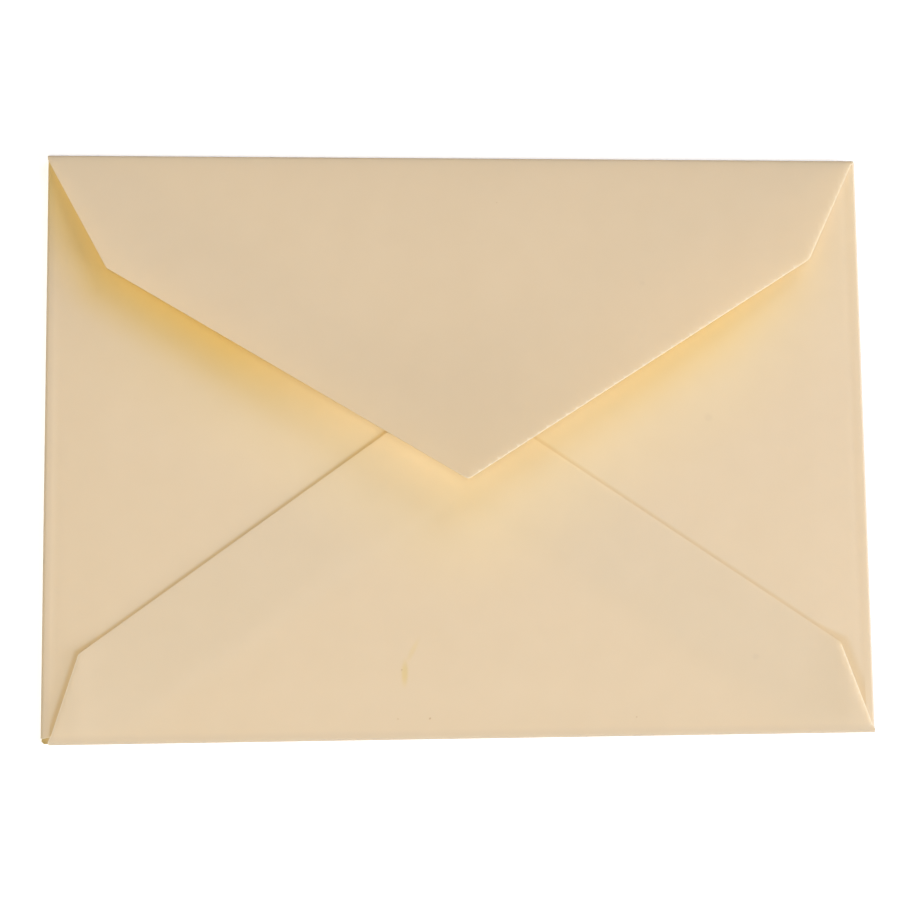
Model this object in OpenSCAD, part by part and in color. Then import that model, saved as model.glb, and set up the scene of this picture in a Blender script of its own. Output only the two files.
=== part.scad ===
// Paper envelope, folded from one pointed sheet.
// It lies on its address side. The origin is on that side, at the middle of the envelope,
// +X runs along the top fold, +Y towards the top fold and +Z up through the flaps.
// The side flaps are folded in first, the bottom flap is glued down on them, and the top flap
// stands a little open. All sizes are in millimetres and all angles in degrees.

/* [Envelope] */
// Width from the left fold to the right fold
envelope_w = 162; // [150:1:240]
// Height from the bottom fold to the top fold
envelope_h = 114; // [105:1:130]
// Thickness of the paper
paper_t = 0.2; // [0.1:0.01:0.3]
// Room in the pocket, between the address side and the side flaps
pocket_gap = 0.8; // [0.4:0.1:3]
// Room between each end of a side fold and the rounds of the top and bottom folds
corner_clearance = 1.2; // [0.6:0.1:4]

/* [Top flap] */
// Depth from the top fold to the point
top_flap_d = 64.7; // [50:0.1:75]
// Depth from the top fold to the shoulders
top_shoulder_d = 22.3; // [10:0.1:32]
// Distance of the shoulders from the sides of the envelope
top_shoulder_inset = 11.8; // [4:0.1:25]
// Angle at which the flap rises from the fold
top_flap_lift = 10; // [7:0.5:40]
// Angle through which the flap curls back down from the fold to the point
top_flap_curl = 6; // [1:0.5:9]
// Angle at which the flap is folded askew
top_flap_skew = 0.65; // [-2:0.05:2]
// Room between the side flaps and the top flap at the fold
top_flap_clearance = 0.2; // [0.1:0.1:2]
// Rounding of the point
top_point_r = 0.8; // [0.2:0.1:10]
// Rounding of the left shoulder
top_left_shoulder_r = 0.8; // [0.2:0.1:8]
// Rounding of the right shoulder
top_right_shoulder_r = 2.5; // [0.2:0.1:8]

/* [Bottom flap] */
// Depth from the bottom fold to the corner where its two sloping edges would meet
bottom_flap_d = 68.6; // [58:0.1:76]
// Depth from the bottom fold to the shoulders
bottom_shoulder_d = 17.3; // [10:0.1:24]
// Distance of the shoulders from the sides of the envelope
bottom_shoulder_inset = 6.4; // [3:0.1:20]
// Distance of the ends of the bottom fold from the sides of the envelope
bottom_fold_inset = 0.8; // [0.3:0.1:3]
// Shift of the flap to the right of the middle
bottom_flap_shift = 0.7; // [-1:0.1:1]
// Lean of the top corner to the right, beyond that shift
bottom_flap_lean = -2.2; // [-4:0.1:4]
// Rounding of the top corner
bottom_point_r = 5; // [1:0.5:20]
// Rounding of the shoulders
bottom_shoulder_r = 1.5; // [0.2:0.1:6]

/* [Side flaps] */
// Width of the glued lap, square to the sloping edges of the bottom flap
glue_lap = 17; // [10:0.5:24]
// Room between the points of the two side flaps
side_point_gap = 10; // [2:1:40]
// Distance of the side flaps' shoulders from the top and bottom folds
side_shoulder_inset = 3.3; // [2:0.1:8]
// Rounding of the two corners of each point
side_point_r = 10; // [1:0.5:12]
// Rounding of the side flaps' shoulders
side_shoulder_r = 3; // [0.5:0.5:6]

/* [Hidden] */
paper_color = [0.90, 0.80, 0.66];
// Largest gap between a round fold and the straight sides drawn for it
chord_error = 0.005;
// Largest turn from one straight side to the next where a corner or the top flap is rounded
corner_step = 10;
// Number of straight runs that the top flap's curl is made of
curl_steps = 12;
// Length by which a cutting shape passes what it cuts
overshoot = 5;

// Inner radii of the folds: each one spans the layers that lie inside it
side_fold_r = pocket_gap / 2;
bottom_fold_r = (pocket_gap + paper_t) / 2;
top_fold_r = (pocket_gap + paper_t + top_flap_clearance) / 2;

// How far each round reaches in from its fold
side_round = side_fold_r + paper_t;
bottom_round = bottom_fold_r + paper_t;
top_round = top_fold_r + paper_t;

// The top flap's sheet from the fold to past the point: it turns over the fold, and then
// curls on a large radius that leaves the fold's round without a kink
top_fold_turn = 180 - top_flap_lift;
top_flap_run = (top_flap_d + overshoot) / cos(top_flap_lift);
top_curl_r = top_flap_run * 180 / (PI * top_flap_curl);
top_fold_centre = [-top_round, top_round];
top_curl_centre = top_fold_centre + (top_fold_r - top_curl_r) * spoke(top_fold_turn);

// The right-hand seam, from the bottom flap's shoulder up to its top corner
seam_start = [envelope_w / 2 - bottom_shoulder_inset, bottom_shoulder_d - envelope_h / 2];
seam_end = [0, bottom_flap_d - envelope_h / 2];
seam_direction = unit(seam_end - seam_start);
// A point of the right side flap's lower edge, which runs beside the seam under the bottom flap
lap_point = seam_start + glue_lap * [-seam_direction.y, seam_direction.x];
seam_slope = seam_direction.y / seam_direction.x;

// Corners of the side flaps, in from the fold and along it from the middle
side_shoulder_y = envelope_h / 2 - side_shoulder_inset;
side_shoulder_depth = envelope_w / 2 - lap_point.x + (side_shoulder_y + lap_point.y) / seam_slope;
side_point_depth = (envelope_w - side_point_gap) / 2;
side_point_y = -lap_point.y - (side_point_gap / 2 - lap_point.x) * seam_slope;
side_fold_end = envelope_h / 2 - max(top_round, bottom_round) - corner_clearance;

function unit(v) = v / norm(v);

// Direction from the centre of a round to its wall, after turning up from the bottom by an angle
function spoke(angle) = [sin(angle), -cos(angle)];

// Points along a round, without the first one
function arc(centre, r, from, to, steps) =
    [for (i = [1 : steps]) centre + r * spoke(from + (to - from) * i / steps)];

// Points that round a corner between its two neighbours, on an outline drawn counter-clockwise
function rounded_corner(before, corner, after, r) =
    let (
        to_before = unit(before - corner),
        to_after = unit(after - corner),
        half_angle = acos(to_before * to_after) / 2,
        centre = corner + unit(to_before + to_after) * r / sin(half_angle),
        from = atan2(-to_before.y, -to_before.x),
        turn = 180 - 2 * half_angle,
        steps = ceil(turn / corner_step)
    )
    [for (i = [0 : steps]) centre + r * spoke(from + turn * i / steps)];

// A plan outline whose corners are each [x, y, rounding]
module rounded_outline(corners) {
    n = len(corners);
    points = [for (c = corners) [c.x, c.y]];
    polygon([
        for (i = [0 : n - 1])
            for (p = corners[i].z == 0
                ? [points[i]]
                : rounded_corner(points[(i + n - 1) % n], points[i], points[(i + 1) % n], corners[i].z))
                p
    ]);
}

// Straight sides for a circle of radius r, a multiple of four
function sides(r) = 4 * ceil(max(12, 45 / acos(1 - chord_error / r)));

// A circle drawn finely enough for its size
module disc(r) {
    circle(r, $fn = sides(r));
}

// Section of a sheet that turns over at a fold on an inner radius and lies flat from there
module flat_section(fold_r, length) {
    round = fold_r + paper_t;
    translate([-round, round]) {
        intersection() {
            difference() {
                disc(round);
                disc(fold_r);
            }
            translate([0, -round])
                square(2 * round);
        }
        translate([-length, fold_r])
            square([length, paper_t]);
    }
}

// One face of the top flap's section, a distance outside the inner face
function top_flap_face(distance) = concat(
    [top_fold_centre + (top_fold_r + distance) * spoke(0)],
    arc(top_fold_centre, top_fold_r + distance, 0, top_fold_turn, ceil(top_fold_turn / corner_step)),
    arc(top_curl_centre, top_curl_r + distance, top_fold_turn, top_fold_turn + top_flap_curl, curl_steps)
);

// Section of the top flap, from the address side over the fold to past the point
module top_flap_section() {
    inner = top_flap_face(0);
    last = len(inner) - 1;
    polygon(concat(top_flap_face(paper_t), [for (i = [0 : last]) inner[last - i]]));
}

// A flap in its own frame: the fold lies along X with the outside of its round on y = 0,
// the sheet lies at y < 0, and it is cut to the outline. Its section is the child.
module flap(fold_length, outline, skew = 0) {
    intersection() {
        rotate([90, 0, 90])
            linear_extrude(fold_length, center = true)
                children();
        translate([0, 0, -overshoot])
            linear_extrude(top_flap_run + 2 * overshoot)
                rotate(skew)
                    rounded_outline(outline);
    }
}

// The address side, between the rounds of the four folds
module address_side() {
    translate([side_round - envelope_w / 2, bottom_round - envelope_h / 2, 0])
        cube([envelope_w - 2 * side_round, envelope_h - bottom_round - top_round, paper_t]);
}

// A side flap, folded flat over the pocket
module side_flap() {
    outline = [
        [side_fold_end, overshoot, 0],
        [-side_fold_end, overshoot, 0],
        [-side_fold_end, 0, 0],
        [-side_shoulder_y, -side_shoulder_depth, side_shoulder_r],
        [-side_point_y, -side_point_depth, side_point_r],
        [side_point_y, -side_point_depth, side_point_r],
        [side_shoulder_y, -side_shoulder_depth, side_shoulder_r],
        [side_fold_end, 0, 0]
    ];
    flap(envelope_h, outline)
        flat_section(side_fold_r, envelope_w / 2);
}

// The bottom flap, folded flat and glued on the side flaps
module bottom_flap() {
    shoulder_x = envelope_w / 2 - bottom_shoulder_inset;
    fold_end = envelope_w / 2 - bottom_fold_inset;
    outline = [
        [bottom_flap_shift + fold_end, overshoot, 0],
        [bottom_flap_shift - fold_end, overshoot, 0],
        [bottom_flap_shift - fold_end, 0, 0],
        [bottom_flap_shift - shoulder_x, -bottom_shoulder_d, bottom_shoulder_r],
        [bottom_flap_shift + bottom_flap_lean, -bottom_flap_d, bottom_point_r],
        [bottom_flap_shift + shoulder_x, -bottom_shoulder_d, bottom_shoulder_r],
        [bottom_flap_shift + fold_end, 0, 0]
    ];
    flap(envelope_w, outline)
        flat_section(bottom_fold_r, bottom_flap_d + overshoot);
}

// The top flap, which rises from its fold and curls gently back down to its point
module top_flap() {
    shoulder_x = envelope_w / 2 - top_shoulder_inset;
    outline = [
        [envelope_w / 2, overshoot, 0],
        [-envelope_w / 2, overshoot, 0],
        [-envelope_w / 2, 0, 0],
        [-shoulder_x, -top_shoulder_d, top_left_shoulder_r],
        [0, -top_flap_d, top_point_r],
        [shoulder_x, -top_shoulder_d, top_right_shoulder_r],
        [envelope_w / 2, 0, 0]
    ];
    flap(envelope_w, outline, top_flap_skew)
        top_flap_section();
}

// The whole envelope, one folded sheet
module envelope() {
    color(paper_color)
        union() {
            address_side();
            for (side = [0, 1])
                mirror([side, 0, 0])
                    translate([envelope_w / 2, 0, 0])
                        rotate(-90)
                            side_flap();
            mirror([0, 1, 0])
                translate([0, envelope_h / 2, 0])
                    bottom_flap();
            translate([0, envelope_h / 2, 0])
                top_flap();
        }
}

envelope();
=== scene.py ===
"""Paper envelope on a pale table, seen from above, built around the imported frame.

Lengths are in millimetres up to the point where a mesh, lamp or camera is made, and then in metres.
The paper is one sheet. It is laid out as rows of points: first the address side, then each flap from
its fold to its point, with the rows carried over the fold by the flap's own section.
"""

import math

import bpy
from mathutils import Matrix, Vector, noise


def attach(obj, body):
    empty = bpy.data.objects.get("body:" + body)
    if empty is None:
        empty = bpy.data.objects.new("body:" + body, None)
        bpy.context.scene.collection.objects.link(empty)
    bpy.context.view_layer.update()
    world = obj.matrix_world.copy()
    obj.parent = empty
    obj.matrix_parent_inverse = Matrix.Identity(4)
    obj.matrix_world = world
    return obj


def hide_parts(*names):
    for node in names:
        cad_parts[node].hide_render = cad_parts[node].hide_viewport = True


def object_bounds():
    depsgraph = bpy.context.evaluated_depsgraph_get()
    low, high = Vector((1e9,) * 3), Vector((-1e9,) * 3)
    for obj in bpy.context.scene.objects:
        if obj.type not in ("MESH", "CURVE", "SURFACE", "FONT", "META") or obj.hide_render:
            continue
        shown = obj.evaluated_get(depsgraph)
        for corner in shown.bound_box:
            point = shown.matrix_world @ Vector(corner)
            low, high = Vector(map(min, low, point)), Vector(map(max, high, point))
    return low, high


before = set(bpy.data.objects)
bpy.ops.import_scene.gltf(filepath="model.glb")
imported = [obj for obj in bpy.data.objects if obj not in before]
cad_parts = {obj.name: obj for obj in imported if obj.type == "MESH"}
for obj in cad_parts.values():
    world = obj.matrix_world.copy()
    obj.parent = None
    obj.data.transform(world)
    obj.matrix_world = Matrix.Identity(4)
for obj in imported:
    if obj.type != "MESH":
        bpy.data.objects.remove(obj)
cad_low, cad_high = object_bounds()

MM = 0.001
TINY = 1e-6

# The envelope as the frame has it
ENVELOPE_W = (cad_high.x - cad_low.x) / MM
ENVELOPE_H = (cad_high.y - cad_low.y) / MM
HALF_W = ENVELOPE_W / 2
HALF_H = ENVELOPE_H / 2

# Sheet and folds, as in the part's source
PAPER_T = 0.2
POCKET_GAP = 0.8
TOP_CLEARANCE = 0.2
SIDE_FOLD_R = POCKET_GAP / 2
BOTTOM_FOLD_R = (POCKET_GAP + PAPER_T) / 2
TOP_FOLD_R = (POCKET_GAP + PAPER_T + TOP_CLEARANCE) / 2
SIDE_ROUND = SIDE_FOLD_R + PAPER_T
BOTTOM_ROUND = BOTTOM_FOLD_R + PAPER_T
TOP_ROUND = TOP_FOLD_R + PAPER_T
# The side folds end just inside the top and bottom folds. The left one ends higher at its lower end,
# and the corner of the address side is open there, as wide beyond the flat panel as CORNER_W.
SIDE_FOLD_END = HALF_H - 0.2
LEFT_FOLD_LOW_END = HALF_H - 1.3
CORNER_W = 0.5
# How far the flaps' outlines go on beyond the fold
BEYOND_FOLD = 5.0

# Top flap. It leaves the fold with an extra crease angle that dies out within the crease's reach,
# rises at its lift and curls back down through its curl. The right shoulder is cut further out.
TOP_D = 64.7
TOP_SHOULDER_D = 22.3
TOP_SHOULDER_INSET = 11.8
TOP_SKEW = math.radians(0.65)
TOP_POINT_R = 0.8
TOP_LEFT_SHOULDER_R = 0.8
TOP_RIGHT_SHOULDER_R = 2.5
RIGHT_SHOULDER_OUT = 0.55
TOP_LIFT = math.radians(7.3)
TOP_CURL = math.radians(1.3)
TOP_CREASE_LIFT = math.radians(5.0)
TOP_CREASE_REACH = 3.0

# Bottom flap. Its right shoulder is cut further up the seam than the left one.
BOTTOM_D = 68.4
BOTTOM_SHOULDER_D = 17.1
BOTTOM_SHOULDER_INSET = 6.4
BOTTOM_FOLD_INSET = 0.8
BOTTOM_SHIFT = 0.7
BOTTOM_LEAN = -2.2
BOTTOM_POINT_R = 5.0
BOTTOM_SHOULDER_R = 1.5
RIGHT_CUT_FURTHER = 1.0

# Side flaps
GLUE_LAP = 17.0
SIDE_POINT_GAP = 10.0
SIDE_SHOULDER_INSET = 3.3
SIDE_POINT_R = 10.0
SIDE_SHOULDER_R = 3.0

# How finely the sheet is laid out: along rows, round folds and corners, and the closest two points
SPACING = 1.2
FOLD_STEP = math.radians(15)
CORNER_STEP = math.radians(12)
LEAST_STEP = 0.08

# Cut edges: a narrow rim that the die has turned down a little, its share where it is glued, and its
# share at places across the top flap
RIM_W = 0.40
RIM_DROP = 0.05
GLUED_RIM = 0.3
TOP_RIM_ACROSS = [(-8, 0.3), (3, 1.0)]

# How the sheet leaves its ideal planes: the pocket's puff, the folds pressed down, the step over the
# laps, the slow waves and small ripples, and the loose ends of the bottom flap
PUFF = 0.5
FOLD_PRESS = 0.22
FOLD_PRESS_REACH = 1.6
BOTTOM_PRESS_SHARE = 0.6
LAP_STEP = 0.06
LAP_STEP_W = 3.0
COCKLE = 0.07
COCKLE_SCALE = 26.0
RIPPLE = 0.018
RIPPLE_SCALE = 7.0
RIPPLE_SEED = 9.0
TOP_SEED = 3.0
CLOSED_SEED = 5.0
CLOSED_COCKLE_SHARE = 0.5
LEFT_END_LIFT = 0.18
RIGHT_END_LIFT = 0.22
END_LIFT_REACH = 5.0
END_LIFT_RISE = 4.0
END_LIFT_FALL = 9.0
# Depth from the fold over which the waves, the puff and the laps' step come up
TOP_SETTLES = 8.0
CLOSED_SETTLES = 12.0
LAP_SETTLES = 6.0

# The real folds lie a little inside the nominal width and a little outside the nominal height
AS_FOLDED = Vector((161.8 / 162, 114.85 / 114, 1))

# Paper: the colour that it sends back, the colour that it lets through, and the share let through
PAPER_PALE = (0.910, 0.803, 0.648, 1)
PAPER_DEEP = (0.884, 0.777, 0.617, 1)
THROUGH_PALE = (1.0, 0.855, 0.46, 1)
THROUGH_DEEP = (0.99, 0.835, 0.44, 1)
THROUGH_SHARE = 0.40
# Paler colour of the cut edge, as cut fibres are, which also paints a highlight along the rims
CUT_COLOR_AND_HIGHLIGHT = (0.99, 0.95, 0.86, 1)
CUT_HIGHLIGHT_SHARE = (0.4, 1.0)
# Soft clouds in the pulp and fibres on it: size and detail, then relief, roughness and gloss
CLOUD_SIZE = 6.0
CLOUD_DETAIL = 2.0
FIBRE_SIZE = 0.45
FIBRE_DETAIL = 1.0
FIBRE_RANGE = (0.2, 0.8)
FIBRE_RELIEF = 0.012
FIBRE_BUMP = 0.35
ROUGHNESS = (0.82, 0.95)
SPECULAR = 0.2
NOISE_SHIFT = Vector((7.3, 3.1, 1.0))

# Painted shadow on the closed side beside the top flap, golden where the flap hides the light: the colour,
# how far it reaches from the flap's edge, and its share at places across the envelope
PAINTED_GOLD_SHADOW_TONE = (1.0, 0.87, 0.46, 1)
PAINTED_GOLD_SHADOW_REACH = 12.0
PAINTED_GOLD_SHADOW_LEFT = [(-81, 0.93), (-60, 0.95), (-46, 0.87), (-33, 0.40), (-18, 0.08)]
PAINTED_GOLD_SHADOW_RIGHT = [(0, 0.14), (23, 0.22), (38, 0.46), (52, 0.52), (66, 0.3), (76, 0.0)]
# Painted light beside the top flap, a pool of light on the closed side: the colour, how far it reaches
# from the flap's edge, and its share at places across the envelope
PAINTED_LIGHT_TONE = (1.098, 1.083, 0.955, 1)
PAINTED_LIGHT_REACH = 28.0
PAINTED_LIGHT_ACROSS = [(-76, 0.0), (-62, 0.6), (-40, 1.0), (56, 1.0), (76, 0.3)]

# Painted shade on the top flap towards its point, from a depth on
PAINTED_POINT_SHADE = (0.86, 0.875, 0.905, 1)
POINT_FROM = 22.0

# Painted shade along the folded edges, in what the paper sends back and lets through, with the share and
# the reach at each fold
PAINTED_FOLD_SHADE = (0.68, 0.68, 0.74, 1)
PAINTED_FOLD_SHADE_THROUGH = (0.60, 0.60, 0.74, 1)
PAINTED_FOLD_SHADES = {"top": (0.28, 1.3), "bottom": (0.45, 1.3), "left": (0.33, 1.3), "right": (0.95, 0.72)}

# The open corner of the address side, which is deep in the shade; shade is painted on its inner face there
CORNER = Vector((-80.6, -56.8))
CORNER_REACH = 3.0

# Painted shadow on the side flaps beside the bottom flap's edges: its share, and its reach below the
# shoulder and above it. It starts just inside the edge and fades over a part of its reach.
PAINTED_SEAM_SHADOW = (0.81, 0.70, 0.50, 1)
SEAM_SHOULDER_Y = (-40.0, -35.0)
SEAM_START = -0.02
SEAM_FADE = (0.35, 1.2)
LEFT_SEAM_SHADOW = (0.66, (1.15, 0.72))
RIGHT_SEAM_SHADOW = (0.44, (2.2, 0.8))

# Marks on the outer face, in the finished envelope: place, half length, half width, turn and
# strength, and whether they are on the top flap
STAINS = [
    (-9.9, -40.0, 3.6, 0.75, 62, 0.5, False),
    (-11.5, -44.3, 3.4, 0.95, 88, 1.0, False),
]
SMUDGES = [
    (49.3, 4.9, 1.3, 1.1, 0, 0.7, False),
    (57.4, -42.0, 1.0, 0.9, 0, 0.8, False),
    (36.0, 31.0, 0.9, 0.8, 0, 0.5, True),
]
SPECKS = [
    (-12.1, -43.7, 0.24, 0.17, 20, 0.9, False),
    (-6.7, -53.0, 0.34, 0.26, 40, 0.9, False),
    (-12.9, -53.0, 0.34, 0.26, 0, 0.4, False),
    (33.6, -53.3, 0.26, 0.20, 70, 0.6, False),
    (7.5, 47.5, 0.25, 0.15, 50, 0.5, True),
]
STAIN_TONE = (0.96, 0.93, 0.70, 1)
SMUDGE_TONE = (0.92, 0.92, 0.94, 1)
SPECK_TONE = (0.62, 0.52, 0.42, 1)
MARK_CORE = 0.2

# Where the faces lie in the coordinate that tells them apart; the closed side's outer face is at 0.
# The seams' painted shadow weighs that coordinate so heavily that it stays off the other faces.
TOP_FLAP_FACE = 25.0
OTHER_FACE = 50.0
FACE_WEIGHT = 200.0

# Lights: azimuth and elevation in degrees, distance and size in metres, power in watts, colour
WARM = (1.0, 0.95, 0.78)
COOL = (0.765, 0.826, 1.0)
LIGHTS = {
    "overhead": (-110, 82, 1.5, 0.8, 10.15, WARM),
    "left": (-125, 55, 1.5, 0.6, 7.7, WARM),
    "right": (-23, 20, 1.5, 0.6, 11.3, COOL),
    "right_low": (-12, 6, 1.5, 0.3, 34.0, COOL),
    "behind": (62, 30, 1.5, 0.6, 5.6, COOL),
    "left_low": (180, 30, 1.5, 0.6, 2.8, COOL),
}
BACKDROP = (0.95, 0.95, 0.95, 1)
# How often light may go on from paper to paper: under the flap it does so many times
DIFFUSE_BOUNCES = 5

# Table: the air left under the paper is thinner than a hair. The table gives off a little light of
# its own, so that it comes out nearly white.
TABLE_REACH = 1.3
TABLE_GAP = 0.05
TABLE_COLOR = (0.93, 0.93, 0.93, 1)
TABLE_ROUGHNESS = 0.8
TABLE_LIGHT = (0.25, 0.26, 0.31, 1)

# Camera
CAMERA_PLACE = Vector((-23.23, -33.96, 321.7))
CAMERA_AIM = Vector((-2.21, -1.27, 0.7))
CAMERA_ROLL = math.radians(0.64)
CAMERA_CLIP = (0.01, 20)
LENS = 65.74
SENSOR = 36.0


def smooth(t):
    """0 below 0, 1 above 1, and an even curve between."""
    t = min(1.0, max(0.0, t))
    return t * t * (3 - 2 * t)


# Outlines: corners are (along the fold, depth from the fold, rounding)
def rounded(corners):
    """The outline's points, with each corner turned into short sides."""
    points = []
    for i, (a, d, r) in enumerate(corners):
        corner = Vector((a, d))
        if r == 0:
            points.append(corner)
            continue
        before = (Vector(corners[i - 1][:2]) - corner).normalized()
        after = (Vector(corners[(i + 1) % len(corners)][:2]) - corner).normalized()
        half = math.acos(before.dot(after)) / 2
        centre = corner + (before + after).normalized() * (r / math.sin(half))
        start = corner + before * (r / math.tan(half)) - centre
        turn = math.copysign(math.pi - 2 * half, before.cross(after) * -1)
        steps = max(2, math.ceil(abs(turn) / CORNER_STEP))
        for k in range(steps + 1):
            points.append(centre + Matrix.Rotation(turn * k / steps, 2) @ start)
    return points


def turned(points, angle):
    """The points turned about the middle of the fold."""
    return [Matrix.Rotation(angle, 2) @ p for p in points]


def span(outline, depth, inset):
    """Where a line at that depth lies inside a convex outline, an inset away from its edges, or None."""
    low, high = -math.inf, math.inf
    middle = sum(outline, Vector((0, 0))) / len(outline)
    for p, q in zip(outline, outline[1:] + outline[:1]):
        side = q - p
        if side.length < TINY:
            continue
        inward = Vector((-side.y, side.x)).normalized()
        if inward.dot(middle - p) < 0:
            inward = -inward
        reach = inward.dot(p) + inset - inward.y * depth
        if abs(inward.x) < TINY:
            if reach > TINY:
                return None
        elif inward.x > 0:
            low = max(low, reach / inward.x)
        else:
            high = min(high, reach / inward.x)
    return (low, high) if high - low > 0 else None


def top_outline():
    shoulder = HALF_W - TOP_SHOULDER_INSET
    right = (shoulder + RIGHT_SHOULDER_OUT, TOP_SHOULDER_D - RIGHT_SHOULDER_OUT)
    corners = [
        (-HALF_W, -BEYOND_FOLD, 0),
        (-HALF_W, 0, 0),
        (-shoulder, TOP_SHOULDER_D, TOP_LEFT_SHOULDER_R),
        (0, TOP_D, TOP_POINT_R),
        (*right, TOP_RIGHT_SHOULDER_R),
        (HALF_W, 0, 0),
        (HALF_W, -BEYOND_FOLD, 0),
    ]
    return turned(rounded(corners), -TOP_SKEW)


def bottom_shoulder(sign):
    """A shoulder of the bottom flap. The right one is cut further up its seam."""
    shoulder = Vector((BOTTOM_SHIFT + sign * (HALF_W - BOTTOM_SHOULDER_INSET), BOTTOM_SHOULDER_D))
    top = Vector((BOTTOM_SHIFT + BOTTOM_LEAN, BOTTOM_D))
    further = RIGHT_CUT_FURTHER if sign > 0 else 0.0
    return shoulder + (top - shoulder).normalized() * further


def bottom_outline():
    left, right = bottom_shoulder(-1), bottom_shoulder(1)
    end = HALF_W - BOTTOM_FOLD_INSET
    corners = [
        (BOTTOM_SHIFT - end, -BEYOND_FOLD, 0),
        (BOTTOM_SHIFT - end, 0, 0),
        (*left, BOTTOM_SHOULDER_R),
        (BOTTOM_SHIFT + BOTTOM_LEAN, BOTTOM_D, BOTTOM_POINT_R),
        (*right, BOTTOM_SHOULDER_R),
        (BOTTOM_SHIFT + end, 0, 0),
        (BOTTOM_SHIFT + end, -BEYOND_FOLD, 0),
    ]
    return rounded(corners)


def seam():
    """The right seam: its lower end, its direction, and a point of the lap's inner edge beside it."""
    start = Vector((HALF_W - BOTTOM_SHOULDER_INSET, BOTTOM_SHOULDER_D - HALF_H))
    direction = (Vector((0, BOTTOM_D - HALF_H)) - start).normalized()
    lap = start + GLUE_LAP * Vector((-direction.y, direction.x))
    return start, direction, lap


def side_outline(low_end):
    """A side flap, whose fold runs from low_end below the middle to just inside the top fold."""
    _, direction, lap = seam()
    slope = direction.y / direction.x
    shoulder_y = HALF_H - SIDE_SHOULDER_INSET
    shoulder_d = HALF_W - lap.x + (shoulder_y + lap.y) / slope
    point_d = HALF_W - SIDE_POINT_GAP / 2
    point_y = -lap.y - (SIDE_POINT_GAP / 2 - lap.x) * slope
    corners = [
        (-low_end, -BEYOND_FOLD, 0),
        (-low_end, 0, 0),
        (-shoulder_y, shoulder_d, SIDE_SHOULDER_R),
        (-point_y, point_d, SIDE_POINT_R),
        (point_y, point_d, SIDE_POINT_R),
        (shoulder_y, shoulder_d, SIDE_SHOULDER_R),
        (SIDE_FOLD_END, 0, 0),
        (SIDE_FOLD_END, -BEYOND_FOLD, 0),
    ]
    return rounded(corners)


# Relief of the finished envelope
def cockle(x, y, seed):
    """Slow waves and small ripples of a sheet that has taken up some damp."""
    slow = noise.noise(Vector((x / COCKLE_SCALE, y / COCKLE_SCALE, seed)))
    quick = noise.noise(Vector((x / RIPPLE_SCALE, y / RIPPLE_SCALE, seed + RIPPLE_SEED)))
    return COCKLE * slow + RIPPLE * quick


def pocket_rise(x, y):
    """How far the closed side stands up from its plane over the empty pocket."""
    across = 1 - (x / HALF_W) ** 2
    along = 1 - (y / HALF_H) ** 2
    return PUFF * max(0, across) * max(0, along)


def closed_rise(x, y):
    """The pocket's puff with the waves of its paper."""
    return pocket_rise(x, y) + CLOSED_COCKLE_SHARE * cockle(x, y, CLOSED_SEED)


def lap_cover(x, y):
    """1 where a side flap lies under the bottom flap, 0 in the middle between them."""
    _, direction, lap = seam()
    inward = Vector((-direction.y, direction.x))
    reach = inward.dot(Vector((abs(x), y)) - lap)
    return 1 - smooth(reach / LAP_STEP_W + 0.5)


def end_lift(x, d):
    """How far the unglued ends of the bottom flap stand off the side flaps."""
    shoulder = HALF_W - BOTTOM_SHOULDER_INSET
    along = smooth(d / END_LIFT_RISE) * (1 - smooth((d - BOTTOM_SHOULDER_D) / END_LIFT_FALL))
    left = max(0, x - (BOTTOM_SHIFT - shoulder))
    right = max(0, BOTTOM_SHIFT + shoulder - x)
    raised = LEFT_END_LIFT * math.exp(-left / END_LIFT_REACH)
    raised += RIGHT_END_LIFT * math.exp(-right / END_LIFT_REACH)
    return along * raised


def press(d):
    """How far a folded edge is pressed down below the layers further in."""
    return -FOLD_PRESS * math.exp(-d / FOLD_PRESS_REACH)


# Sections: (depth from the fold, height of the sheet's middle) after a run along the sheet
def over_fold(fold_r, turn):
    """Points of the fold's round, from the address side on, without the first."""
    middle_r = fold_r + PAPER_T / 2
    centre = fold_r + PAPER_T
    steps = math.ceil(turn / FOLD_STEP)
    points = []
    for k in range(1, steps + 1):
        angle = turn * k / steps
        points.append((centre - middle_r * math.sin(angle), centre - middle_r * math.cos(angle)))
    return points


def flat_height(fold_r):
    return lambda d: 2 * fold_r + PAPER_T * 1.5


def top_height(d):
    """Height of the top flap's middle at a depth: steep at the crease, then curling back down."""
    start = TOP_ROUND - (TOP_FOLD_R + PAPER_T / 2) * math.sin(math.pi - top_turn())
    base = TOP_ROUND + (TOP_FOLD_R + PAPER_T / 2) * math.cos(math.pi - top_turn())
    run = max(0, d - start)
    gentle = math.tan(TOP_LIFT) * run - math.tan(TOP_CURL) * run * run / (2 * TOP_D)
    crease = math.tan(TOP_CREASE_LIFT) * TOP_CREASE_REACH * (1 - math.exp(-run / TOP_CREASE_REACH))
    return base + gentle + crease


def top_turn():
    return math.pi - TOP_LIFT - TOP_CREASE_LIFT


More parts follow.
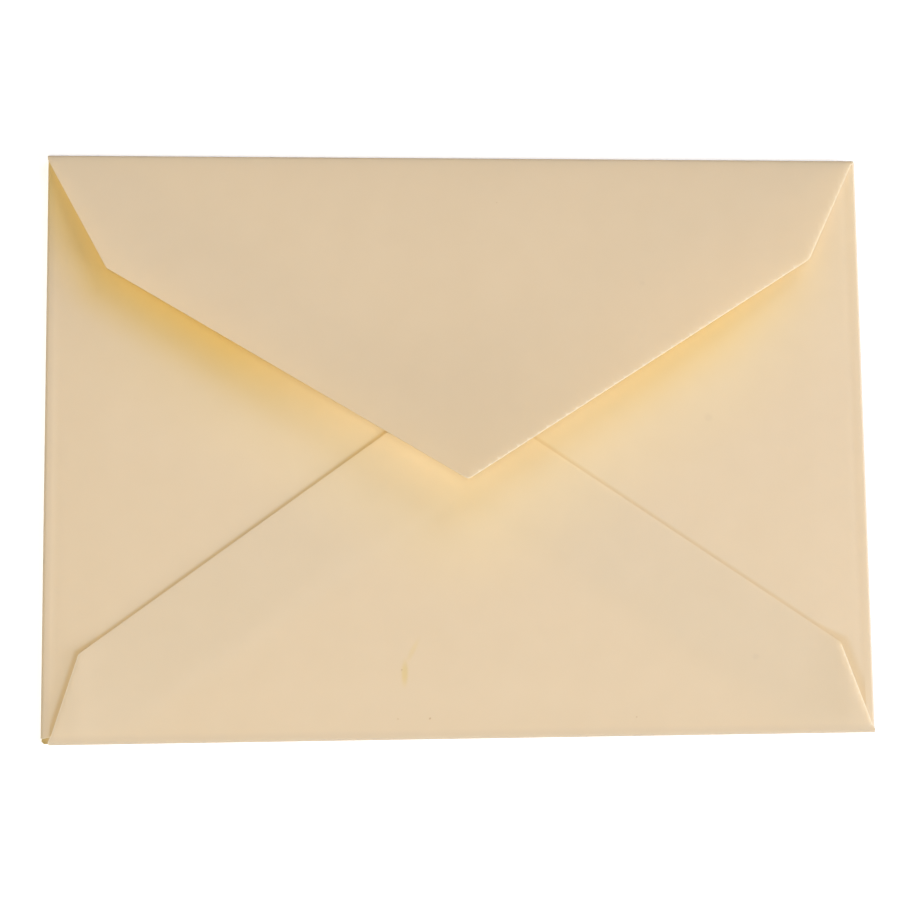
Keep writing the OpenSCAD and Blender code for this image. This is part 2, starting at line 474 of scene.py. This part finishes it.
class Sheet:
    """The sheet's middle surface, with each point's place on the flat blank and its share of cut edge."""

    def __init__(self):
        self.points = []
        self.blank = []
        self.edge = []
        self.on_flap = []
        self.closed = []
        self.faces = []

    def add(self, place, blank, edge, on_flap):
        self.points.append(place)
        self.blank.append(blank)
        self.edge.append(edge)
        self.on_flap.append(on_flap)
        return len(self.points) - 1

    def stitch(self, one, other, flip=False):
        """Faces between two rows of (distance along, point), with four sides where the distances agree."""
        i, j = 0, 0
        while i < len(one) - 1 or j < len(other) - 1:
            more_one = one[i + 1][0] if i < len(one) - 1 else math.inf
            more_other = other[j + 1][0] if j < len(other) - 1 else math.inf
            if abs(more_one - more_other) < TINY:
                face = (one[i][1], one[i + 1][1], other[j + 1][1], other[j][1])
                i, j = i + 1, j + 1
            elif more_one < more_other:
                face = (one[i][1], one[i + 1][1], other[j][1])
                i += 1
            else:
                face = (one[i][1], other[j + 1][1], other[j][1])
                j += 1
            self.faces.append(face[::-1] if flip else face)


def steps_between(low, high, stops=()):
    """Places from low to high about a spacing apart, with every stop that isn't right beside another."""
    kept = [low]
    for stop in sorted(stops):
        if kept[-1] + LEAST_STEP < stop < high - LEAST_STEP:
            kept.append(stop)
    places = []
    for start, end in zip(kept, kept[1:] + [high]):
        count = max(1, round((end - start) / SPACING))
        places += [start + (end - start) * k / count for k in range(count)]
    return places + [high]


def flap_rows(sheet, first_row, outline, fold_points, height, place, columns, relief, rim, flip):
    """Lays out a flap from the address side's edge over its fold to its point.

    height(d) is the flap's plane, relief(a, d) what stands off it, rim(a, d) the share of turned-down
    edge, and place(a, d, z, along) gives the point and its place on the flat blank.
    """
    tip = max(outline, key=lambda p: p.y)
    fold_end = fold_points[-1][0]
    stops = [p.y for p in outline] + [tip.y - RIM_W * k for k in (1, 2, 3)]
    stations = [(d, z, True) for d, z in fold_points]
    depths = steps_between(fold_end, tip.y, [d for d in stops if d > fold_end])
    stations += [(d, height(d), False) for d in depths[1:]]
    row, along, last = first_row, 0.0, None
    for d, z, in_fold in stations:
        along += math.hypot(d - last[0], z - last[1]) if last else FOLD_STEP * PAPER_T
        last = (d, z)
        cut_depth = 0.0 if in_fold else d
        marks = row_marks(outline, cut_depth, columns, tip.x)
        new_row = []
        for a in marks:
            edge = edge_share(outline, a, cut_depth) * rim(a, d)
            lift = 0.0 if in_fold else relief(a, d) - RIM_DROP * edge
            where, blank = place(a, d, z + lift, along)
            new_row.append((a, sheet.add(where, blank, edge, not in_fold)))
        sheet.stitch(row, new_row, flip)
        row = new_row


def loose_rim(a, d):
    """A loose flap's cut edge is turned down all round."""
    return 1.0


def top_rim(a, d):
    """The top flap's cut edge is turned down at the right, and only a little at the left."""
    return across(a, TOP_RIM_ACROSS)


def seam_rim(a, d):
    """The bottom flap's cut edge is turned down at its loose ends only, and not where it is glued."""
    return 1.0 if d < BOTTOM_SHOULDER_D else GLUED_RIM


def row_marks(outline, depth, columns, tip):
    """Where a row has its points: at both cut edges, at both rims, and on the columns between them."""
    outer = span(outline, depth, 0.0)
    if outer is None or outer[1] - outer[0] < LEAST_STEP:
        return [tip]
    low, high = outer
    inner = span(outline, depth, RIM_W)
    if inner is None or inner[1] - inner[0] < LEAST_STEP:
        return [low] + [c for c in columns if low + LEAST_STEP < c < high - LEAST_STEP] + [high]
    start, end = inner
    between = [c for c in columns if start + LEAST_STEP < c < end - LEAST_STEP]
    return [low, start] + between + [end, high]


def edge_share(outline, a, depth):
    """1 on the cut edge, 0 from the rim inwards."""
    point = Vector((a, depth))
    nearest = math.inf
    for p, q in zip(outline, outline[1:]):
        side = q - p
        if side.length > TINY:
            nearest = min(nearest, abs(side.cross(point - p)) / side.length)
    return max(0.0, 1 - nearest / RIM_W)


def open_corner(sheet, rows, left, bottom, bottom_left):
    """The lower left corner of the address side, beyond the ends of the left fold and the bottom fold."""
    inner, beside, above = rows[0][0][1], rows[0][1][1], rows[1][0][1]
    places = [
        (left - CORNER_W, -LEFT_FOLD_LOW_END - LEAST_STEP),
        (left - CORNER_W, bottom),
        (left, bottom - CORNER_W),
        (bottom_left, bottom - CORNER_W),
    ]
    upper, outer, lower, last = [sheet.add((x, y, PAPER_T / 2), (x, y), 0.0, False) for x, y in places]
    sheet.faces += [(inner, above, upper, outer), (inner, outer, lower), (inner, lower, last, beside)]


def build_sheet():
    sheet = Sheet()
    left, right = SIDE_ROUND - HALF_W, HALF_W - SIDE_ROUND
    bottom, top = BOTTOM_ROUND - HALF_H, HALF_H - TOP_ROUND
    bottom_left = BOTTOM_SHIFT + BOTTOM_FOLD_INSET - HALF_W
    xs = steps_between(left, right, [bottom_left])
    ys = steps_between(bottom, top, [-LEFT_FOLD_LOW_END])
    rows = []
    for y in ys:
        rows.append([(x, sheet.add((x, y, PAPER_T / 2), (x, y), 0.0, False)) for x in xs])
    for one, other in zip(rows, rows[1:]):
        sheet.stitch(one, other)
    open_corner(sheet, rows, left, bottom, bottom_left)

    def on_top(a, d, z, along):
        return (a, HALF_H - d, z), (a, top + along)

    def on_bottom(a, d, z, along):
        return (a, d - HALF_H, z), (a, bottom - along)

    def on_left(a, d, z, along):
        return (d - HALF_W, a, z), (left - along, a)

    def on_right(a, d, z, along):
        return (HALF_W - d, a, z), (right + along, a)

    def top_relief(a, d):
        return cockle(a, d, TOP_SEED) * smooth(d / TOP_SETTLES)

    def side_relief(x, y, d):
        return press(d) + smooth(d / CLOSED_SETTLES) * closed_rise(x, y)

    def bottom_relief(a, d):
        y = d - HALF_H
        sunk = LAP_STEP * (lap_cover(a, y) - 1) * smooth(d / LAP_SETTLES)
        settled = smooth(d / CLOSED_SETTLES)
        return press(d) * BOTTOM_PRESS_SHARE + settled * closed_rise(a, y) + sunk + end_lift(a, d)

    top_fold = over_fold(TOP_FOLD_R, top_turn())
    outline, relief = top_outline(), top_relief
    flap_rows(sheet, rows[-1], outline, top_fold, top_height, on_top, xs, relief, top_rim, False)
    closed_from = len(sheet.points)
    under_bottom = [p for p in rows[0] if p[0] > bottom_left - TINY]
    bottom_fold = over_fold(BOTTOM_FOLD_R, math.pi)
    height = flat_height(BOTTOM_FOLD_R)
    outline, relief = bottom_outline(), bottom_relief
    flap_rows(sheet, under_bottom, outline, bottom_fold, height, on_bottom, xs, relief, seam_rim, True)
    side_fold = over_fold(SIDE_FOLD_R, math.pi)
    height = flat_height(SIDE_FOLD_R)
    sides = ((on_left, 0, -1, LEFT_FOLD_LOW_END), (on_right, -1, 1, SIDE_FOLD_END))
    for place, column, sign, low_end in sides:
        first = [(y, row[column][1]) for y, row in zip(ys, rows) if y > -low_end - TINY]

        def relief(a, d, sign=sign):
            return side_relief(sign * (HALF_W - d), a, d)

        outline = side_outline(low_end)
        flap_rows(sheet, first, outline, side_fold, height, place, ys, relief, loose_rim, sign > 0)
    sheet.closed = [i >= closed_from for i in range(len(sheet.points))]
    return sheet


def point_normals(sheet):
    points = [Vector(p) for p in sheet.points]
    normals = [Vector((0, 0, 0)) for _ in points]
    for face in sheet.faces:
        across = points[face[2]] - points[face[0]]
        other = points[face[-1]] - points[face[1]]
        square = across.cross(other)
        for i in face:
            normals[i] += square
    return [n.normalized() for n in normals]


def boundary(faces):
    """Edges that only one face has, in that face's direction."""
    edges = {}
    for face in faces:
        for i, j in zip(face, face[1:] + face[:1]):
            if (j, i) in edges:
                del edges[(j, i)]
            else:
                edges[(i, j)] = True
    return list(edges)


def blank_places(sheet):
    """Each point's place on the flat blank, first for the inner face and then for the outer one."""
    values = []
    for face in (OTHER_FACE, 0.0):
        for u, v in sheet.blank:
            values += [u, v, face]
    return values


def shown_places(sheet):
    """Each point's place in the finished envelope, where the flaps' outer faces are the ones that show."""
    values = []
    for outer in (False, True):
        for (x, y, _), on_flap, closed in zip(sheet.points, sheet.on_flap, sheet.closed):
            face = 0.0 if closed else TOP_FLAP_FACE
            values += [x, y, face if outer and on_flap else OTHER_FACE]
    return values


def beside_top_flap(x, y, reach):
    """1 under the top flap, and less away from its edge."""
    point = Vector((x, HALF_H - y))
    outline = top_outline()
    nearest, inside = math.inf, True
    for p, q in zip(outline, outline[1:] + outline[:1]):
        side = q - p
        along = min(1.0, max(0.0, (point - p).dot(side) / side.length_squared))
        nearest = min(nearest, (p + side * along - point).length)
        inside = inside and side.cross(point - p) <= 0
    return 1.0 if inside else 1 - smooth(nearest / reach)


def across(x, stops):
    """The value at x on the straight runs between the stops."""
    if x <= stops[0][0]:
        return stops[0][1]
    for (x0, v0), (x1, v1) in zip(stops, stops[1:]):
        if x <= x1:
            return v0 + (v1 - v0) * (x - x0) / (x1 - x0)
    return stops[-1][1]


def corner_values(sheet):
    """How near each point of the inner face is to the open corner, where shade is painted."""
    return [1 - smooth((Vector((x, y)) - CORNER).length / CORNER_REACH) for x, y, _ in sheet.points]


def painted_light_and_shadow_values(sheet, reach, stops):
    """How strong a painted shadow or painted light is at each point: on the outer face of the side flaps
    and the bottom flap, and on the inner face near the open corner.
    """
    outer = []
    for (x, y, _), closed in zip(sheet.points, sheet.closed):
        outer.append(beside_top_flap(x, y, reach) * across(x, stops) if closed else 0.0)
    return corner_values(sheet) + outer


def painted_point_shade_values(sheet):
    """How strong the painted shade towards the top flap's point is."""
    outer = []
    for (_, y, _), on_flap, closed in zip(sheet.points, sheet.on_flap, sheet.closed):
        on_top = on_flap and not closed
        outer.append(smooth((HALF_H - y - POINT_FROM) / (TOP_D - POINT_FROM)) if on_top else 0.0)
    return [0.0] * len(outer) + outer


def painted_fold_shade_values(sheet):
    """How strong the painted shade of the folded edges is, and near the open corner on the inner face."""
    outer = []
    for x, y, _ in sheet.points:
        near = {"top": HALF_H - y, "bottom": HALF_H + y, "left": HALF_W + x, "right": HALF_W - x}
        outer.append(max(PAINTED_FOLD_SHADES[side][0] * (1 - smooth(d / PAINTED_FOLD_SHADES[side][1])) for side, d in near.items()))
    return corner_values(sheet) + outer


def add_attribute(mesh, name, kind, field, values):
    mesh.attributes.new(name, kind, "POINT").data.foreach_set(field, values)


def mesh_of(sheet):
    """The sheet with its thickness: an inner face, an outer face and the cut edge between them."""
    normals = point_normals(sheet)
    count = len(sheet.points)
    half = PAPER_T / 2
    inner = [(Vector(p) + n * half) * AS_FOLDED for p, n in zip(sheet.points, normals)]
    outer = [(Vector(p) - n * half) * AS_FOLDED for p, n in zip(sheet.points, normals)]
    cut = boundary(sheet.faces)
    faces = list(sheet.faces)
    faces += [tuple(i + count for i in reversed(face)) for face in sheet.faces]
    faces += [(j, i, i + count, j + count) for i, j in cut]
    mesh = bpy.data.meshes.new("paper_sheet")
    mesh.from_pydata([tuple(p * MM) for p in inner + outer], [], faces)
    mesh.polygons.foreach_set("use_smooth", [True] * len(faces))
    sharp = {frozenset(edge) for edge in cut}
    sharp |= {frozenset((i + count, j + count)) for i, j in cut}
    for edge in mesh.edges:
        edge.use_edge_sharp = frozenset(edge.vertices) in sharp
    add_attribute(mesh, "edge", "FLOAT", "value", sheet.edge * 2)
    # Masks of the painted gold shadow, the painted light, the painted shade towards the point and along
    # the folds
    add_attribute(mesh, "painted_gold_shadow", "FLOAT", "value", painted_light_and_shadow_values(sheet, PAINTED_GOLD_SHADOW_REACH, PAINTED_GOLD_SHADOW_LEFT + PAINTED_GOLD_SHADOW_RIGHT))
    add_attribute(mesh, "painted_light", "FLOAT", "value", painted_light_and_shadow_values(sheet, PAINTED_LIGHT_REACH, PAINTED_LIGHT_ACROSS))
    add_attribute(mesh, "point", "FLOAT", "value", painted_point_shade_values(sheet))
    add_attribute(mesh, "fold", "FLOAT", "value", painted_fold_shade_values(sheet))
    add_attribute(mesh, "blank", "FLOAT_VECTOR", "vector", blank_places(sheet))
    add_attribute(mesh, "shown", "FLOAT_VECTOR", "vector", shown_places(sheet))
    return mesh


def paper_piece(material):
    piece = bpy.data.objects.new("paper_sheet", mesh_of(build_sheet()))
    bpy.context.scene.collection.objects.link(piece)
    piece.data.materials.append(material)
    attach(piece, "root")
    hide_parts("envelope")
    return piece


class Nodes:
    """Short calls that make a material's nodes and link them."""

    def __init__(self, name):
        self.material = bpy.data.materials.new(name)
        self.material.use_nodes = True
        self.tree = self.material.node_tree
        self.shader = self.tree.nodes["Principled BSDF"]
        self.surface = self.tree.nodes["Material Output"].inputs["Surface"]

    def add(self, kind, **settings):
        made = self.tree.nodes.new(kind)
        for name, value in settings.items():
            setattr(made, name, value)
        return made

    def link(self, source, target):
        self.tree.links.new(source, target)

    def attribute(self, name, output):
        return self.add("ShaderNodeAttribute", attribute_name=name).outputs[output]

    def noise(self, place, size, detail, seed):
        """Soft random values from 0 to 1, in patches about the size given in millimetres."""
        shifted = self.add("ShaderNodeMapping")
        shifted.inputs["Location"].default_value = NOISE_SHIFT * seed
        self.link(place, shifted.inputs["Vector"])
        made = self.add("ShaderNodeTexNoise")
        made.inputs["Scale"].default_value = 1 / size
        made.inputs["Detail"].default_value = detail
        self.link(shifted.outputs["Vector"], made.inputs["Vector"])
        return made.outputs["Fac"]

    def between(self, value, low, high, new_low=0.0, new_high=1.0, curve="SMOOTHSTEP"):
        made = self.add("ShaderNodeMapRange", interpolation_type=curve)
        self.link(value, made.inputs["Value"])
        made.inputs["From Min"].default_value = low
        made.inputs["From Max"].default_value = high
        made.inputs["To Min"].default_value = new_low
        made.inputs["To Max"].default_value = new_high
        return made.outputs["Result"]

    def math(self, operation, one, other):
        made = self.add("ShaderNodeMath", operation=operation)
        for value, socket in ((one, made.inputs[0]), (other, made.inputs[1])):
            if isinstance(value, float):
                socket.default_value = value
            else:
                self.link(value, socket)
        return made.outputs["Value"]

    def mix(self, share, one, other, blend="MIX"):
        made = self.add("ShaderNodeMix", data_type="RGBA", blend_type=blend)
        self.link(share, made.inputs["Factor"])
        for value, socket in ((one, made.inputs["A"]), (other, made.inputs["B"])):
            if isinstance(value, tuple):
                self.color_socket(made, socket.name).default_value = value
            else:
                self.link(value, self.color_socket(made, socket.name))
        return self.color_output(made)

    def color_socket(self, made, name):
        return next(s for s in made.inputs if s.name == name and s.type == "RGBA")

    def color_output(self, made):
        return next(s for s in made.outputs if s.type == "RGBA")

    def mark(self, place, x, y, half_length, half_width, turn, strength, on_top):
        """A soft oval mark, from its strength in the middle to nothing at its rim."""
        oval = self.add("ShaderNodeMapping", vector_type="TEXTURE")
        oval.inputs["Location"].default_value = (x, y, TOP_FLAP_FACE if on_top else 0)
        oval.inputs["Rotation"].default_value = (0, 0, math.radians(turn))
        oval.inputs["Scale"].default_value = (half_length, half_width, 1)
        self.link(place, oval.inputs["Vector"])
        reach = self.add("ShaderNodeVectorMath", operation="LENGTH")
        self.link(oval.outputs["Vector"], reach.inputs[0])
        return self.between(reach.outputs["Value"], MARK_CORE, 1.0, strength, 0.0)

    def marks(self, place, marks):
        total = self.mark(place, *marks[0])
        for values in marks[1:]:
            total = self.math("MAXIMUM", total, self.mark(place, *values))
        return total


def seam_shadow_share(made, shown, sign, share, reach):
    """How strong the painted shadow beside one of the bottom flap's edges is: along its end and its seam.
    """
    shoulder = bottom_shoulder(sign) - Vector((0, HALF_H))
    foot = Vector((BOTTOM_SHIFT + sign * (HALF_W - BOTTOM_FOLD_INSET), -HALF_H))
    top = Vector((BOTTOM_SHIFT + BOTTOM_LEAN, BOTTOM_D - HALF_H))
    beyond = None
    for start, end in ((foot, shoulder), (shoulder, top)):
        run = (end - start).normalized()
        outward = Vector((run.y, -run.x)) * sign
        dot = made.add("ShaderNodeVectorMath", operation="DOT_PRODUCT")
        made.link(shown, dot.inputs[0])
        dot.inputs[1].default_value = (outward.x, outward.y, FACE_WEIGHT)
        gap = made.math("SUBTRACT", dot.outputs["Value"], outward.dot(start))
        beyond = made.math("MAXIMUM", beyond, gap) if beyond else gap
    split = made.add("ShaderNodeSeparateXYZ")
    made.link(shown, split.inputs[0])
    width = made.between(split.outputs["Y"], *SEAM_SHOULDER_Y, *reach)
    fade = made.between(made.math("DIVIDE", beyond, width), *SEAM_FADE, share, 0.0)
    outside = made.math("GREATER_THAN", beyond, SEAM_START)
    return made.math("MULTIPLY", fade, outside)


def paper_color(made, shown, clouds):
    """The face's colour: soft clouds in the pulp, painted shadow, painted light and painted shade, a few
    marks, and a paler cut edge that is partly a painted highlight.
    """
    color = made.mix(clouds, PAPER_DEEP, PAPER_PALE)
    # Painted shadow and painted light beside the top flap, painted shade towards its point and along the
    # folds
    painted_tones = (("painted_gold_shadow", PAINTED_GOLD_SHADOW_TONE), ("painted_light", PAINTED_LIGHT_TONE), ("point", PAINTED_POINT_SHADE), ("fold", PAINTED_FOLD_SHADE))
    for name, tone in painted_tones:
        color = made.mix(made.attribute(name, "Fac"), color, tone, "MULTIPLY")
    # Painted shadow beside the bottom flap's edges
    for sign, (share, reach) in ((-1, LEFT_SEAM_SHADOW), (1, RIGHT_SEAM_SHADOW)):
        color = made.mix(seam_shadow_share(made, shown, sign, share, reach), color, PAINTED_SEAM_SHADOW, "MULTIPLY")
    for tone, marks in ((STAIN_TONE, STAINS), (SMUDGE_TONE, SMUDGES), (SPECK_TONE, SPECKS)):
        color = made.mix(made.marks(shown, marks), color, tone, "MULTIPLY")
    # Paler cut edge, partly a painted highlight along the rims
    cut = made.between(made.attribute("edge", "Fac"), *CUT_HIGHLIGHT_SHARE)
    return made.mix(cut, color, CUT_COLOR_AND_HIGHLIGHT)


def paper_material():
    made = Nodes("cream_paper")
    blank = made.attribute("blank", "Vector")
    shown = made.attribute("shown", "Vector")
    clouds = made.noise(blank, CLOUD_SIZE, CLOUD_DETAIL, 1)
    fibres = made.noise(blank, FIBRE_SIZE, FIBRE_DETAIL, 2)
    front = made.shader
    made.link(paper_color(made, shown, clouds), front.inputs["Base Color"])
    made.link(made.between(fibres, *FIBRE_RANGE, *ROUGHNESS), front.inputs["Roughness"])
    front.inputs["Specular IOR Level"].default_value = SPECULAR
    bump = made.add("ShaderNodeBump")
    bump.inputs["Strength"].default_value = FIBRE_BUMP
    bump.inputs["Distance"].default_value = FIBRE_RELIEF * MM
    made.link(fibres, bump.inputs["Height"])
    made.link(bump.outputs["Normal"], front.inputs["Normal"])
    through = made.add("ShaderNodeBsdfTranslucent")
    passed = made.mix(clouds, THROUGH_DEEP, THROUGH_PALE)
    # Painted shade along the folds, also in the light let through
    shaded_at_folds = made.mix(made.attribute("fold", "Fac"), passed, PAINTED_FOLD_SHADE_THROUGH, "MULTIPLY")
    made.link(shaded_at_folds, through.inputs["Color"])
    both = made.add("ShaderNodeMixShader")
    both.inputs["Fac"].default_value = THROUGH_SHARE
    made.link(front.outputs["BSDF"], both.inputs[1])
    made.link(through.outputs["BSDF"], both.inputs[2])
    made.link(both.outputs["Shader"], made.surface)
    return made.material


def floor():
    mesh = bpy.data.meshes.new("table")
    corners = [(-1, -1), (1, -1), (1, 1), (-1, 1)]
    points = [(x * TABLE_REACH, y * TABLE_REACH, -TABLE_GAP * MM) for x, y in corners]
    mesh.from_pydata(points, [], [(0, 1, 2, 3)])
    table = bpy.data.objects.new("table", mesh)
    bpy.context.scene.collection.objects.link(table)
    material = bpy.data.materials.new("table_white")
    material.use_nodes = True
    shader = material.node_tree.nodes["Principled BSDF"]
    shader.inputs["Base Color"].default_value = TABLE_COLOR
    shader.inputs["Roughness"].default_value = TABLE_ROUGHNESS
    shader.inputs["Emission Color"].default_value = TABLE_LIGHT
    shader.inputs["Emission Strength"].default_value = 1.0
    mesh.materials.append(material)


def camera():
    data = bpy.data.cameras.new("camera")
    data.lens = LENS
    data.sensor_width = SENSOR
    data.clip_start, data.clip_end = CAMERA_CLIP
    thing = bpy.data.objects.new("camera", data)
    bpy.context.scene.collection.objects.link(thing)
    ahead = (CAMERA_AIM - CAMERA_PLACE).normalized()
    upward = Vector((math.sin(CAMERA_ROLL), math.cos(CAMERA_ROLL), 0))
    right = ahead.cross(upward).normalized()
    up = right.cross(ahead)
    turn = Matrix((right, up, -ahead)).transposed().to_4x4()
    thing.matrix_world = Matrix.Translation(CAMERA_PLACE * MM) @ turn
    bpy.context.scene.camera = thing


def area_light(name, azimuth, elevation, distance, size, power, color):
    data = bpy.data.lights.new(name, "AREA")
    data.shape = "DISK"
    data.size = size
    data.energy = power
    data.color = color
    thing = bpy.data.objects.new(name, data)
    bpy.context.scene.collection.objects.link(thing)
    a, e = math.radians(azimuth), math.radians(elevation)
    away = Vector((math.cos(a) * math.cos(e), math.sin(a) * math.cos(e), math.sin(e)))
    thing.location = away * distance
    thing.rotation_mode = "QUATERNION"
    thing.rotation_quaternion = (-away).to_track_quat("-Z", "Y")


def lights():
    """Soft lights and a pale backdrop that only the camera sees."""
    for name, values in LIGHTS.items():
        area_light(name, *values)
    world = bpy.data.worlds.new("world")
    bpy.context.scene.world = world
    world.use_nodes = True
    unlit = world.node_tree.nodes["Background"]
    unlit.inputs["Color"].default_value = (0, 0, 0, 1)
    seen = world.node_tree.nodes.new("ShaderNodeBackground")
    seen.inputs["Color"].default_value = BACKDROP
    path = world.node_tree.nodes.new("ShaderNodeLightPath")
    either = world.node_tree.nodes.new("ShaderNodeMixShader")
    links = world.node_tree.links
    links.new(path.outputs["Is Camera Ray"], either.inputs["Fac"])
    links.new(unlit.outputs["Background"], either.inputs[1])
    links.new(seen.outputs["Background"], either.inputs[2])
    links.new(either.outputs["Shader"], world.node_tree.nodes["World Output"].inputs["Surface"])
    scene = bpy.context.scene
    scene.view_settings.view_transform = "Standard"
    scene.cycles.diffuse_bounces = DIFFUSE_BOUNCES
    scene.cycles.transmission_bounces = DIFFUSE_BOUNCES
    scene.cycles.max_bounces = 2 * DIFFUSE_BOUNCES


camera()
paper_piece(paper_material())
floor()
lights()

bpy.context.view_layer.update()
